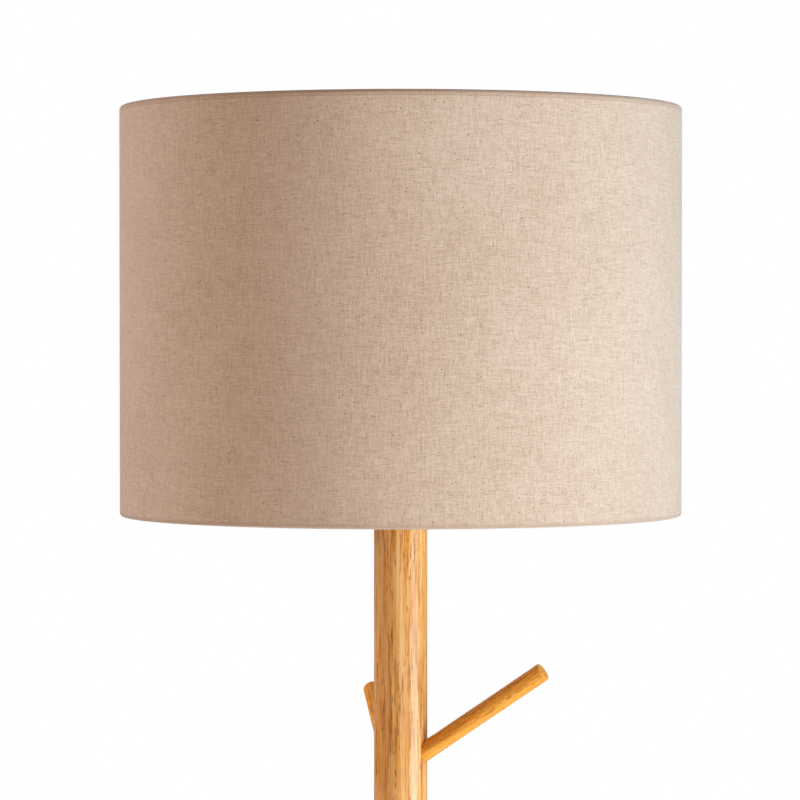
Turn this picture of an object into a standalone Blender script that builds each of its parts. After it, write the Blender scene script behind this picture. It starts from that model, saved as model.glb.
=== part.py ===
"""Floor lamp with a linen drum shade, a round wooden post with three coat pegs, and three splayed legs.

Metres, +Z up. The origin is on the floor, on the post's axis. An azimuth is measured from +Y towards +X.
"""
import math

import bmesh
import bpy
from mathutils import Matrix, Vector

# Driving dimensions
HEIGHT = 1.600
GAP = 0.0003

# Shade
SHADE_R = 0.210
SHADE_H = 0.305
SHADE_BOTTOM = HEIGHT - SHADE_H
FABRIC = 0.0008
LINER = 0.0004
WIRE_R = 0.0015
HEM_DEPTH = 0.0165
HEM_TURN = 0.0060
ARM_AZIMUTHS = (90, 210, 330)

# Post and pegs: azimuth in degrees, and how far below the shade each peg's axis meets the post's axis
POST_R = 0.020
POST_JOINT = 0.820
POST_TOP = SHADE_BOTTOM + 0.013
BORE_R = 0.0055
PEG_R = 0.007
PEG_REACH = 0.1348
PEG_START = 0.0135
PEG_RISE = math.radians(34.2)
PEGS = {
    "peg_right": (108.5, 0.190),
    "peg_back": (348.5, 0.216),
    "peg_front": (228.5, 0.310),
}

# Hub, legs and feet
LEG_AZIMUTHS = (108.5, 228.5, 348.5)
HUB_BOTTOM = 0.290
HUB_TOP = HUB_BOTTOM + 0.082
HUB_R = 0.046
HUB_SOCKET = HUB_TOP - 0.012
LEG_TOP = (0.022, HUB_BOTTOM + 0.048)
LEG_TOP_R = 0.013
LEG_FOOT_R = 0.010
FOOT_CIRCLE_R = 0.212
LEG_SPARE = 0.02
PAD_H = 0.004
PAD_R = 0.0095
PAD_EDGE = 0.0006

# Leg fixings, counted along a leg from its top end
LEG_INSERT_R = 0.0055
LEG_INSERT_FROM = -0.0125
LEG_INSERT_TO = -0.0006
BOLT_R = 0.0030
BOLT_FROM = -0.0120
BOLT_TO = 0.0250
BOLT_EDGE = 0.0006
BOLT_HOLE_R = 0.0033
BOLT_HOLE_TO = 0.0255

# Hub profile and fixings
NUT_WELL = 0.014
NUT_WELL_R = 0.0172
BELLY_LOW = HUB_BOTTOM + 0.022
BELLY_HIGH = HUB_BOTTOM + 0.046
HUB_NECK_R = 0.030
HUB_NECK_H = 0.003
HUB_BASE_R = 0.033
HUB_BASE_ROUND = 0.003
WASHER_R = 0.0140
WASHER_H = 0.0020
NUT_R = 0.0085
NUT_H = 0.0060
GLAND_DROP = 0.0038
GLAND_RIM_DROP = 0.0022
GLAND_R = 0.0190
GLAND_SPIGOT_R = 0.0168
GLAND_SPIGOT_H = 0.0014

# Threaded lamp tube, which also carries the flex
TUBE_R = 0.0050
TUBE_BORE_R = 0.0036
TUBE_HOLE_R = TUBE_R + GAP
INSERT_R = 0.0080
INSERT_H = 0.0179
STUD_HALF = 0.025
NIPPLE_NUT_R = 0.0070
NIPPLE_WELL_R = 0.0095
NIPPLE_WELL = 0.008
FLEX_R = 0.0028
CORE_R = 0.0009

# Lampholder, counted up from the plate on the post
PLATE_H = 0.0020
PLATE_R = 0.0193
SCREW_CIRCLE_R = 0.0163
SCREW_AZIMUTHS = (20, 140, 260)
SCREW_R = 0.0014
SCREW_HEAD_R = 0.0026
SCREW_HEAD_H = 0.0014
SCREW_L = 0.012
HOLDER_BASE = POST_TOP + PLATE_H + 2 * GAP
HOLDER_R = 0.0195
CUP_H = 0.0234
CUP_FOOT_R = 0.0130
CUP_WALL = 0.0025
CUP_FLOOR = 0.0020
BLOCK_R = 0.0165
BLOCK_FROM = HOLDER_BASE + 0.0109
BLOCK_TO = HOLDER_BASE + 0.0231
CONTACT_R = 0.0035
SHELL_R = 0.0142
SHELL_WALL = 0.0005
SHELL_H = 0.0270
SKIRT_BORE_R = 0.0146
SKIRT_H = 0.0417
FITTER_Z = HOLDER_BASE + 0.0427
FITTER_H = 0.0020
FITTER_R = 0.0305
CLAMP_R = 0.0265
CLAMP_H = 0.0070
SWITCH_Y = 0.0085
SWITCH_Z = HOLDER_BASE + 0.0079
SWITCH_TRAVEL = 0.006
SWITCH_BAR_R = 0.0022
SWITCH_KNOB_R = 0.0032
SWITCH_KNOB_L = 0.0030
SWITCH_KNOB_EDGE = 0.0006
SWITCH_LEFT = -0.0210
SWITCH_SLOT_R = 0.0026

# Bulb
BULB_R = 0.030
BULB_FOOT = HOLDER_BASE + 0.0247
BULB_SEAM = BULB_FOOT + 0.0647
DOME_CENTRE = BULB_SEAM + 0.0180
DOME_WALL = 0.0010
BUTTON_R = 0.0045
BUTTON_H = 0.0015
GLASS_FROM = BULB_FOOT + BUTTON_H + GAP
GLASS_TO = BULB_FOOT + 0.0047
CAP_R = 0.0132
CAP_FROM = GLASS_TO + GAP
CAP_TO = BULB_FOOT + 0.0267
BODY_FROM = CAP_TO + GAP
BODY_NECK_R = 0.0138
EMITTER_R = 0.0200
EMITTER_H = 0.0015

# Sides of round pieces
WIRE_STEPS = 6
SCREW_STEPS = 10
BOREHOLE_STEPS = 12
SMALL_STEPS = 18
POST_STEPS = 24
SHADE_STEPS = 40


def clear_scene():
    for obj in list(bpy.data.objects):
        bpy.data.objects.remove(obj, do_unlink=True)


def material(name, colour, roughness, metallic=0.0):
    found = bpy.data.materials.get(name)
    if found:
        return found
    made = bpy.data.materials.new(name)
    made.use_nodes = True
    shader = made.node_tree.nodes["Principled BSDF"]
    shader.inputs["Base Color"].default_value = (*colour, 1.0)
    shader.inputs["Roughness"].default_value = roughness
    shader.inputs["Metallic"].default_value = metallic
    return made


def linen():
    return material("linen", (0.69, 0.60, 0.51), 0.92)


def shade_lining():
    return material("shade_lining", (0.86, 0.84, 0.79), 0.55)


def rubberwood():
    return material("rubberwood", (0.56, 0.33, 0.15), 0.38)


def peg_wood():
    return material("peg_wood", (0.50, 0.26, 0.11), 0.42)


def zinc_steel():
    return material("zinc_steel", (0.72, 0.72, 0.71), 0.32, 1.0)


def white_wire():
    return material("white_wire", (0.84, 0.83, 0.80), 0.40)


def brass():
    return material("brass", (0.78, 0.60, 0.30), 0.30, 1.0)


def black_plastic():
    return material("black_plastic", (0.025, 0.025, 0.027), 0.38)


def white_plastic():
    return material("white_plastic", (0.86, 0.86, 0.84), 0.40)


def ceramic():
    return material("ceramic", (0.80, 0.78, 0.73), 0.50)


def opal_plastic():
    return material("opal_plastic", (0.93, 0.93, 0.91), 0.28)


def bulb_metal():
    return material("bulb_metal", (0.80, 0.80, 0.80), 0.25, 1.0)


def rubber():
    return material("rubber", (0.05, 0.048, 0.045), 0.75)


def flex_sheath():
    return material("flex_sheath", (0.035, 0.035, 0.035), 0.50)


# Shapes


def heading(azimuth):
    """The level direction of an azimuth in degrees."""
    angle = math.radians(azimuth)
    return Vector((math.sin(angle), math.cos(angle), 0))


def along(point, direction):
    """A matrix that puts a turned shape's foot at a point and its axis along a direction."""
    turn = Vector(direction).to_track_quat("Z", "Y").to_matrix().to_4x4()
    return Matrix.Translation(point) @ turn


def arc(centre, radius, start, end, points):
    """Points on an arc in the profile plane, from one angle in degrees to another."""
    angles = [math.radians(start + (end - start) * i / (points - 1)) for i in range(points)]
    return [(centre[0] + radius * math.cos(a), centre[1] + radius * math.sin(a)) for a in angles]


def circle_radius(radius, angle):
    return radius


def hexagon_radius(apothem, angle):
    """The distance from a hexagon's middle to its edge at an angle."""
    sixth = math.pi / 3
    return apothem / math.cos((angle + sixth / 2) % sixth - sixth / 2)


def add_turned(bm, profile, steps, outer=circle_radius):
    """Adds a solid of revolution whose profile is a closed outline of (radius, height).

    The profile's largest radius follows the outer function, so that a nut gets its flats.
    """
    widest = max(radius for radius, _ in profile)
    rings = []
    for radius, height in profile:
        if radius == 0:
            rings.append([bm.verts.new((0, 0, height))] * steps)
            continue
        ring = []
        for i in range(steps):
            angle = math.tau * i / steps
            reach = outer(radius, angle) if radius == widest else radius
            ring.append(bm.verts.new((reach * math.cos(angle), reach * math.sin(angle), height)))
        rings.append(ring)
    for ring, after in zip(rings, rings[1:] + rings[:1]):
        for i in range(steps):
            j = (i + 1) % steps
            corners = list(dict.fromkeys([ring[i], ring[j], after[j], after[i]]))
            if len(corners) > 2:
                bm.faces.new(corners)


def finished(name, bm, finish):
    """Turns a bmesh into an object with its faces pointing out and its round faces smooth."""
    bmesh.ops.recalc_face_normals(bm, faces=bm.faces)
    mesh = bpy.data.meshes.new(name)
    bm.to_mesh(mesh)
    bm.free()
    mesh.materials.append(finish)
    mesh.shade_smooth()
    mesh.set_sharp_from_angle(angle=math.radians(32))
    obj = bpy.data.objects.new(name, mesh)
    bpy.context.scene.collection.objects.link(obj)
    return obj


def turned(name, profile, finish, steps=SMALL_STEPS, outer=circle_radius):
    bm = bmesh.new()
    add_turned(bm, profile, steps, outer)
    return finished(name, bm, finish)


def turned_each(name, profile, places, finish, steps=SMALL_STEPS):
    """An object at each place, all sharing one turned mesh."""
    first = turned(f"{name}_1", profile, finish, steps)
    first.matrix_world = places[0]
    made = [first]
    for number, place in enumerate(places[1:], 2):
        copy = bpy.data.objects.new(f"{name}_{number}", first.data)
        bpy.context.scene.collection.objects.link(copy)
        copy.matrix_world = place
        made.append(copy)
    return made


def sleeve(inner, outer, low, high, chamfer=0.0):
    """A tube's profile, with both outer edges cut at 45 degrees."""
    edges = [(outer, low + chamfer), (outer, high - chamfer)]
    if chamfer:
        edges = [(outer - chamfer, low), *edges, (outer - chamfer, high)]
    return [(inner, low), *edges, (inner, high)]


def disc(radius, low, high):
    return [(0, low), (radius, low), (radius, high), (0, high)]


def ribbon(path, thickness):
    """The closed outline of a strip of an even thickness along a path."""
    sides = []
    for side in (thickness / 2, -thickness / 2):
        line = []
        for i, point in enumerate(path):
            before = Vector(path[max(i - 1, 0)])
            after = Vector(path[min(i + 1, len(path) - 1)])
            run = (after - before).normalized()
            line.append((point[0] + run.y * side, point[1] - run.x * side))
        sides.append(line)
    return sides[0] + sides[1][::-1]


def cutter(name, profile, place, steps=SMALL_STEPS):
    """A hidden solid that a Boolean takes away from a piece."""
    bm = bmesh.new()
    add_turned(bm, profile, steps)
    made = finished(name, bm, rubberwood())
    made.matrix_world = place
    made.hide_render = True
    made.display_type = "WIRE"
    return made


def cut(obj, *cutters):
    for tool in cutters:
        change = obj.modifiers.new(tool.name, "BOOLEAN")
        change.operation = "DIFFERENCE"
        change.object = tool


# Legs


def leg_line(azimuth):
    """Where a leg's top is, and the direction that the leg runs in from there."""
    out = heading(azimuth)
    top = out * LEG_TOP[0] + Vector((0, 0, LEG_TOP[1]))
    foot = out * FOOT_CIRCLE_R + Vector((0, 0, PAD_H))
    return top, foot - top


def leg_places():
    return [along(*leg_line(azimuth)) for azimuth in LEG_AZIMUTHS]


def build_legs():
    """Tapered dowels, each bored at its top for a bolt and cut level where it meets its pad."""
    length = leg_line(0)[1].length
    taper = (LEG_TOP_R - LEG_FOOT_R) / length
    bevel = 0.001
    profile = [
        (0, BOLT_HOLE_TO),
        (BOLT_HOLE_R, BOLT_HOLE_TO),
        (BOLT_HOLE_R, 0),
        (LEG_TOP_R - bevel, 0),
        (LEG_TOP_R, bevel),
        (LEG_FOOT_R - taper * LEG_SPARE, length + LEG_SPARE),
        (0, length + LEG_SPARE),
    ]
    under_legs = disc(2 * FOOT_CIRCLE_R, -0.1, PAD_H + GAP)
    ground = cutter("floor_cutter", under_legs, Matrix.Identity(4))
    for leg in turned_each("leg", profile, leg_places(), rubberwood()):
        cut(leg, ground)


def build_feet():
    """A flat rubber pad under each leg."""
    places = [Matrix.Translation(heading(azimuth) * FOOT_CIRCLE_R) for azimuth in LEG_AZIMUTHS]
    turned_each("foot_pad", sleeve(0, PAD_R, 0, PAD_H, PAD_EDGE), places, rubber())


def build_leg_fixings():
    """A threaded insert in the hub over each leg, and the bolt that joins the two."""
    insert = sleeve(BOLT_HOLE_R, LEG_INSERT_R, LEG_INSERT_FROM, LEG_INSERT_TO)
    turned_each("leg_insert", insert, leg_places(), brass(), BOREHOLE_STEPS)
    bolt = sleeve(0, BOLT_R, BOLT_FROM, BOLT_TO, BOLT_EDGE)
    turned_each("leg_bolt", bolt, leg_places(), zinc_steel(), BOREHOLE_STEPS)


def build_hub():
    """The turned block that the legs and the post stand in."""
    rise = HUB_TOP - HUB_NECK_H - BELLY_HIGH
    shoulder = [
        (HUB_NECK_R + (HUB_R - HUB_NECK_R) * math.cos(a), BELLY_HIGH + rise * math.sin(a))
        for a in (math.radians(18 * i) for i in range(6))
    ]
    profile = [
        (TUBE_HOLE_R, HUB_BOTTOM + NUT_WELL),
        (NUT_WELL_R, HUB_BOTTOM + NUT_WELL),
        (NUT_WELL_R, HUB_BOTTOM),
        *arc((HUB_BASE_R, HUB_BOTTOM + HUB_BASE_ROUND), HUB_BASE_ROUND, -90, -30, 4),
        (HUB_R - 0.001, BELLY_LOW - 0.0015),
        (HUB_R, BELLY_LOW),
        *shoulder,
        (HUB_NECK_R - 0.002, HUB_TOP),
        (POST_R + GAP, HUB_TOP),
        (POST_R + GAP, HUB_SOCKET),
        (TUBE_HOLE_R, HUB_SOCKET),
    ]
    hub = turned("leg_hub", profile, rubberwood(), POST_STEPS)
    socket = [
        (0, LEG_INSERT_FROM - GAP),
        (LEG_INSERT_R + GAP, LEG_INSERT_FROM - GAP),
        (LEG_INSERT_R + GAP, -GAP),
        (LEG_TOP_R + GAP, -GAP),
        (LEG_TOP_R + GAP, 0.1),
        (0, 0.1),
    ]
    for number, place in enumerate(leg_places(), 1):
        cut(hub, cutter(f"leg_socket_{number}", socket, place))


def build_hub_fixings():
    """The tube that pulls the post down on the hub, its nut and washer, and the flex's gland."""
    ceiling = HUB_BOTTOM + NUT_WELL - GAP
    turned("hub_tube", sleeve(TUBE_BORE_R, TUBE_R, HUB_BOTTOM + 0.002, HUB_TOP + 0.018), zinc_steel())
    turned("hub_washer", sleeve(TUBE_HOLE_R, WASHER_R, ceiling - WASHER_H, ceiling), zinc_steel())
    nut_top = ceiling - WASHER_H - GAP
    nut = sleeve(TUBE_HOLE_R, NUT_R, nut_top - NUT_H, nut_top)
    turned("hub_nut", nut, zinc_steel(), outer=hexagon_radius)
    gland = [
        (FLEX_R + GAP, HUB_BOTTOM - GLAND_DROP),
        (NUT_R, HUB_BOTTOM - GLAND_DROP),
        (GLAND_R, HUB_BOTTOM - GLAND_RIM_DROP),
        (GLAND_R, HUB_BOTTOM - GAP),
        (GLAND_SPIGOT_R, HUB_BOTTOM - GAP),
        (GLAND_SPIGOT_R, HUB_BOTTOM + GLAND_SPIGOT_H),
        (FLEX_R + GAP, HUB_BOTTOM + GLAND_SPIGOT_H),
    ]
    turned("cord_gland", gland, black_plastic())


# Post


def build_post():
    """Two bored lengths of dowel, with a pocket for a threaded insert at each end that is joined."""
    pocket_r = INSERT_R + GAP
    pocket = INSERT_H + 2 * GAP
    bevel = 0.0006
    foot = HUB_SOCKET + GAP
    lower = [
        (pocket_r, foot),
        (POST_R - bevel, foot),
        (POST_R, foot + bevel),
        (POST_R, POST_JOINT - bevel),
        (POST_R - bevel, POST_JOINT),
        (pocket_r, POST_JOINT),
        (pocket_r, POST_JOINT - pocket),
        (BORE_R, POST_JOINT - pocket),
        (BORE_R, foot + pocket),
        (pocket_r, foot + pocket),
    ]
    turned("post_lower", lower, rubberwood(), POST_STEPS)
    seat = POST_JOINT + GAP
    nut_floor = POST_TOP - NIPPLE_WELL
    upper = [
        (pocket_r, seat),
        (POST_R - bevel, seat),
        (POST_R, seat + bevel),
        (POST_R, POST_TOP - bevel),
        (POST_R - bevel, POST_TOP),
        (NIPPLE_WELL_R, POST_TOP),
        (NIPPLE_WELL_R, nut_floor),
        (BORE_R, nut_floor),
        (BORE_R, seat + pocket),
        (pocket_r, seat + pocket),
    ]
    post = turned("post_upper", upper, rubberwood(), POST_STEPS)
    hole = disc(PEG_R + GAP, PEG_START - GAP, 0.05)
    for name in PEGS:
        cut(post, cutter(f"hole_of_{name}", hole, peg_place(name), BOREHOLE_STEPS))
    return post


def build_post_joint():
    """Threaded inserts in the post's ends, and the hollow stud that joins its two lengths."""
    seats = (HUB_SOCKET + 2 * GAP, POST_JOINT - INSERT_H - GAP, POST_JOINT + 2 * GAP)
    places = [Matrix.Translation((0, 0, seat)) for seat in seats]
    insert = sleeve(TUBE_R + 0.0002, INSERT_R, 0, INSERT_H)
    turned_each("post_insert", insert, places, brass())
    stud = sleeve(TUBE_BORE_R, TUBE_R, POST_JOINT - STUD_HALF, POST_JOINT + STUD_HALF)
    turned("post_stud", stud, zinc_steel())


def peg_place(name):
    azimuth, drop = PEGS[name]
    root = Vector((0, 0, SHADE_BOTTOM - drop))
    direction = heading(azimuth) * math.cos(PEG_RISE) + Vector((0, 0, math.sin(PEG_RISE)))
    return along(root, direction)


def build_pegs():
    """Dowels with a rounded tip edge, glued in blind holes that slant up out of the post."""
    rounding = 0.0012
    tip = arc((PEG_R - rounding, PEG_REACH - rounding), rounding, 0, 90, 4)
    profile = [(0, PEG_START), (PEG_R, PEG_START), *tip, (0, PEG_REACH)]
    for name in PEGS:
        peg = turned(name, profile, peg_wood())
        peg.matrix_world = peg_place(name)


# Lampholder


def build_post_plate(post):
    """The plate that closes the post's top, its screws, and the nipple and nut that hold the lampholder."""
    head = HOLDER_BASE
    floor = POST_TOP + GAP
    plate = sleeve(TUBE_HOLE_R, PLATE_R, floor, floor + PLATE_H)
    plate = turned("top_plate", plate, zinc_steel(), POST_STEPS)
    places = [Matrix.Translation(heading(azimuth) * SCREW_CIRCLE_R) for azimuth in SCREW_AZIMUTHS]
    screw = [
        (0, head - SCREW_L),
        (SCREW_R, head - SCREW_L + 0.001),
        (SCREW_R, head),
        (SCREW_HEAD_R, head),
        (SCREW_HEAD_R - 0.0004, head + SCREW_HEAD_H - GAP),
        (0, head + SCREW_HEAD_H),
    ]
    turned_each("plate_screw", screw, places, zinc_steel(), SCREW_STEPS)
    hole = disc(SCREW_R + GAP, head - SCREW_L - 0.0005, head + 0.002)
    for number, place in enumerate(places, 1):
        tool = cutter(f"screw_hole_{number}", hole, place, SCREW_STEPS)
        cut(plate, tool)
        cut(post, tool)
    turned("nipple", sleeve(TUBE_BORE_R, TUBE_R, POST_TOP - 0.007, HOLDER_BASE + 0.0044), zinc_steel())
    nut = sleeve(TUBE_HOLE_R, NIPPLE_NUT_R, POST_TOP - 0.005, POST_TOP - GAP)
    turned("nipple_nut", nut, zinc_steel(), outer=hexagon_radius)


def build_holder():
    """Cup, terminal block, spring contact, screw shell and threaded skirt of a screw-cap lampholder."""
    base = HOLDER_BASE
    wall_r = HOLDER_R - CUP_WALL
    cup = [
        (TUBE_HOLE_R, base),
        (CUP_FOOT_R, base),
        (CUP_FOOT_R, base + 0.0022),
        (HOLDER_R, base + 0.0084),
        (HOLDER_R, base + CUP_H),
        (wall_r, base + CUP_H),
        (wall_r, base + 0.0096),
        (CUP_FOOT_R - 0.0012, base + 0.0046),
        (CUP_FOOT_R - 0.0012, base + CUP_FLOOR),
        (TUBE_HOLE_R, base + CUP_FLOOR),
    ]
    cup = turned("holder_cup", cup, black_plastic(), POST_STEPS)
    slot = disc(SWITCH_SLOT_R, -2 * HOLDER_R, 2 * HOLDER_R)
    cut(cup, cutter("switch_slot", slot, switch_place(), BOREHOLE_STEPS))
    seat = BLOCK_TO + GAP
    turned("terminal_block", sleeve(0, BLOCK_R, BLOCK_FROM, BLOCK_TO, 0.0005), ceramic())
    turned("centre_contact", disc(CONTACT_R, seat, seat + 0.0010), brass(), BOREHOLE_STEPS)
    turned("screw_shell", sleeve(SHELL_R - SHELL_WALL, SHELL_R, seat, seat + SHELL_H - GAP), brass())
    skirt_base = base + CUP_H + GAP
    skirt = sleeve(SKIRT_BORE_R, HOLDER_R, skirt_base, skirt_base + SKIRT_H, 0.0008)
    turned("holder_skirt", skirt, black_plastic(), POST_STEPS)


def switch_place():
    return along((0, SWITCH_Y, SWITCH_Z), (1, 0, 0))


def build_switch():
    """The push bar that goes through the cup from side to side."""
    left = SWITCH_LEFT
    right = SWITCH_TRAVEL - SWITCH_LEFT
    crown_r = SWITCH_KNOB_R - SWITCH_KNOB_EDGE
    crown = SWITCH_KNOB_L - SWITCH_KNOB_EDGE
    profile = [
        (0, left - SWITCH_KNOB_L),
        (crown_r, left - SWITCH_KNOB_L),
        (SWITCH_KNOB_R, left - crown),
        (SWITCH_KNOB_R, left),
        (SWITCH_BAR_R, left),
        (SWITCH_BAR_R, right),
        (SWITCH_KNOB_R, right),
        (SWITCH_KNOB_R, right + crown),
        (crown_r, right + SWITCH_KNOB_L),
        (0, right + SWITCH_KNOB_L),
    ]
    bar = turned("switch_bar", profile, white_plastic(), BOREHOLE_STEPS)
    bar.matrix_world = switch_place()


def build_flex():
    """The flex from the gland up to the lampholder, and its two cores to the terminals."""
    end = HOLDER_BASE + 0.0050
    turned("inner_flex", disc(FLEX_R, HUB_BOTTOM - GLAND_DROP, end), flex_sheath(), SCREW_STEPS)
    lines = []
    for side in (1, -1):
        start = Vector((side * 0.0013, 0, end + 2 * GAP))
        lines.append((start, Vector((side * 0.0080, 0, HOLDER_BASE + 0.0098)) - start))
    places = [along(*line) for line in lines]
    turned_each("flex_core", disc(CORE_R, 0, lines[0][1].length), places, brass(), WIRE_STEPS)


# Shade


def wire_centre(edge, inward):
    """Where the wire sits inside a hem; inward is 1 at the bottom rim and -1 at the top rim."""
    inset = FABRIC + GAP + WIRE_R
    return SHADE_R - inset, edge + inward * inset


def hem(edge, inward):
    """The fabric's path from its glued end, round the wire at a rim, to the outer skin."""
    wrap_r = WIRE_R + GAP + FABRIC / 2
    end_r = SHADE_R - FABRIC - LINER - 2 * GAP - FABRIC / 2
    turn = arc(wire_centre(edge, inward), wrap_r, 180 - 20 * inward, 180 + 180 * inward, 5)
    return [(end_r, edge + inward * HEM_DEPTH), (end_r, edge + inward * HEM_TURN), *turn]


def build_shade_cover():
    """Linen wrapped round both wires and glued back inside, notched where the carrier's arms leave."""
    path = hem(HEIGHT, -1) + hem(SHADE_BOTTOM, 1)[::-1]
    cover = turned("shade_cover", ribbon(path, FABRIC), linen(), SHADE_STEPS)
    notch = disc(WIRE_R + 0.0009, 0, 0.012)
    for number, azimuth in enumerate(ARM_AZIMUTHS, 1):
        cut(cover, cutter(f"hem_notch_{number}", notch, along(*arm_line(azimuth)), SCREW_STEPS))


def build_shade_liner():
    outer = SHADE_R - FABRIC - GAP
    liner = sleeve(outer - LINER, outer, SHADE_BOTTOM + HEM_TURN, HEIGHT - HEM_TURN)
    turned("shade_liner", liner, shade_lining(), SHADE_STEPS)


def wire_ring(radius, height):
    """A ring's round section, as a closed outline."""
    return arc((radius, height), WIRE_R, 0, 300, 6)


def arm_line(azimuth):
    """A carrier arm's start on the bottom wire, and its run to the fitter."""
    out = heading(azimuth)
    radius, height = wire_centre(SHADE_BOTTOM, 1)
    start = out * radius + Vector((0, 0, height))
    end = out * (FITTER_R - 0.0015) + Vector((0, 0, FITTER_Z + FITTER_H / 2))
    return start, end - start


def build_shade_wires():
    """The loose top wire, and the carrier: bottom wire, three arms and the fitter, welded together."""
    turned("shade_top_wire", wire_ring(*wire_centre(HEIGHT, -1)), white_wire(), SHADE_STEPS)
    ring = wire_ring(*wire_centre(SHADE_BOTTOM, 1))
    carrier = turned("shade_carrier", ring, white_wire(), SHADE_STEPS)
    fitter = sleeve(0.0207, FITTER_R, FITTER_Z, FITTER_Z + FITTER_H)
    parts = [cutter("fitter_ring", fitter, Matrix.Identity(4))]
    for number, azimuth in enumerate(ARM_AZIMUTHS, 1):
        start, run = arm_line(azimuth)
        arm = disc(WIRE_R, 0, run.length)
        parts.append(cutter(f"carrier_arm_{number}", arm, along(start, run), SCREW_STEPS))
    for piece in parts:
        weld = carrier.modifiers.new(piece.name, "BOOLEAN")
        weld.operation = "UNION"
        weld.object = piece


def build_clamp_rings():
    """The two threaded rings that hold the fitter on the skirt."""
    bore = HOLDER_R + 0.0006
    low = FITTER_Z - GAP - CLAMP_H
    high = FITTER_Z + FITTER_H + GAP
    for name, start in (("clamp_ring_lower", low), ("clamp_ring_upper", high)):
        ring = sleeve(bore, CLAMP_R, start, start + CLAMP_H, 0.0008)
        turned(name, ring, black_plastic(), POST_STEPS)


# Bulb


def build_bulb():
    """Solder button, insulator, screw cap, body, emitter plate and opal dome."""
    turned("bulb_contact", disc(BUTTON_R, BULB_FOOT, BULB_FOOT + BUTTON_H), bulb_metal(), BOREHOLE_STEPS)
    turned("bulb_insulator", [(0, GLASS_FROM), (0.0060, GLASS_FROM), (0.0105, GLASS_TO), (0, GLASS_TO)],
           black_plastic())
    turned("bulb_cap", sleeve(0, CAP_R, CAP_FROM, CAP_TO, 0.0012), bulb_metal())
    seam_r = math.sqrt(BULB_R ** 2 - (DOME_CENTRE - BULB_SEAM) ** 2)
    body = [
        (0, BODY_FROM),
        (BODY_NECK_R - 0.001, BODY_FROM),
        (BODY_NECK_R, BODY_FROM + 0.0020),
        (BODY_NECK_R, BODY_FROM + 0.0150),
        (0.0160, BODY_FROM + 0.0210),
        (seam_r, BULB_SEAM - GAP),
        (0, BULB_SEAM - GAP),
    ]
    turned("bulb_body", body, white_plastic())
    turned("emitter_plate", disc(EMITTER_R, BULB_SEAM, BULB_SEAM + EMITTER_H), zinc_steel())
    start = math.degrees(math.asin((BULB_SEAM - DOME_CENTRE) / BULB_R))
    shell = arc((0, DOME_CENTRE), BULB_R, start, 90, 8)[:-1]
    inside = arc((0, DOME_CENTRE), BULB_R - DOME_WALL, 90, start, 8)[1:-1]
    crown = [(0, DOME_CENTRE + BULB_R), (0, DOME_CENTRE + BULB_R - DOME_WALL)]
    turned("bulb_dome", [*shell, *crown, *inside, (seam_r - DOME_WALL, BULB_SEAM)], opal_plastic())


def main():
    clear_scene()
    build_legs()
    build_feet()
    build_leg_fixings()
    build_hub()
    build_hub_fixings()
    post = build_post()
    build_post_joint()
    build_pegs()
    build_post_plate(post)
    build_holder()
    build_switch()
    build_flex()
    build_shade_cover()
    build_shade_liner()
    build_shade_wires()
    build_clamp_rings()
    build_bulb()


main()
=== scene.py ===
import math

import bmesh
import bpy
from mathutils import Matrix, Vector


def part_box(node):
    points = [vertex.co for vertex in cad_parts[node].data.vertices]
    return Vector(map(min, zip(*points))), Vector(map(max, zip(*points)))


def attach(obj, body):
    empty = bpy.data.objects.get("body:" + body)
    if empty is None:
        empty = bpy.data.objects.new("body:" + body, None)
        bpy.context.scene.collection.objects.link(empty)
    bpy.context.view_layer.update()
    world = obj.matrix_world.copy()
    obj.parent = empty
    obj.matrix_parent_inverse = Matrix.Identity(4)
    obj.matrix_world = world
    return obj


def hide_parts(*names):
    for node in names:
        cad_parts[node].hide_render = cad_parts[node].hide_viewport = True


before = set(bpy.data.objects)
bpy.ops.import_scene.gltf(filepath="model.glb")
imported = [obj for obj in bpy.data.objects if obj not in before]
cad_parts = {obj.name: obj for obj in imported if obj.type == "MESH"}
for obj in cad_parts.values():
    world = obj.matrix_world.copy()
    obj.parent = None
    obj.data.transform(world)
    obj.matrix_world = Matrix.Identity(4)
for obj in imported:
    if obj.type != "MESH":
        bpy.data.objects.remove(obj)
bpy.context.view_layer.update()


# Foot pads
# Round pads of matt black rubber, moulded with a soft edge and glued under the legs.
# Each is flat underneath, where the lamp stands on the floor.

PAD_EDGE = 0.0007
PAD_GROOVE = 0.0004
PAD_GROOVE_SHARES = (0.40, 0.48, 0.58, 0.66)
ALMOST_STRAIGHT = math.radians(165)
CORNER_SHARE = 0.45


def node(tree, kind, sockets=None, **settings):
    """Adds a shader node; a socket is given either a value or another node's output."""
    made = tree.nodes.new(kind)
    for name, value in settings.items():
        setattr(made, name, value)
    for name, value in (sockets or {}).items():
        if isinstance(value, bpy.types.NodeSocket):
            tree.links.new(value, made.inputs[name])
        else:
            made.inputs[name].default_value = value
    return made


def maths(tree, operation, first, second=0.0, third=0.0):
    """The output of a Math node."""
    made = node(tree, "ShaderNodeMath", {0: first, 1: second, 2: third}, operation=operation)
    return made.outputs[0]


def mixed(tree, amount, first, second, blend="MIX"):
    """The colour between two colours."""
    made = node(tree, "ShaderNodeMix", data_type="RGBA", blend_type=blend)
    for socket, value in ((0, amount), (6, first), (7, second)):
        if isinstance(value, bpy.types.NodeSocket):
            tree.links.new(value, made.inputs[socket])
        else:
            made.inputs[socket].default_value = value
    return made.outputs[2]


def stretched(tree, value, low, high, to_low=0.0, to_high=1.0):
    """A value spread from one range to another and held inside it."""
    sockets = {0: value, 1: low, 2: high, 3: to_low, 4: to_high}
    return node(tree, "ShaderNodeMapRange", sockets).outputs[0]


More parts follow.
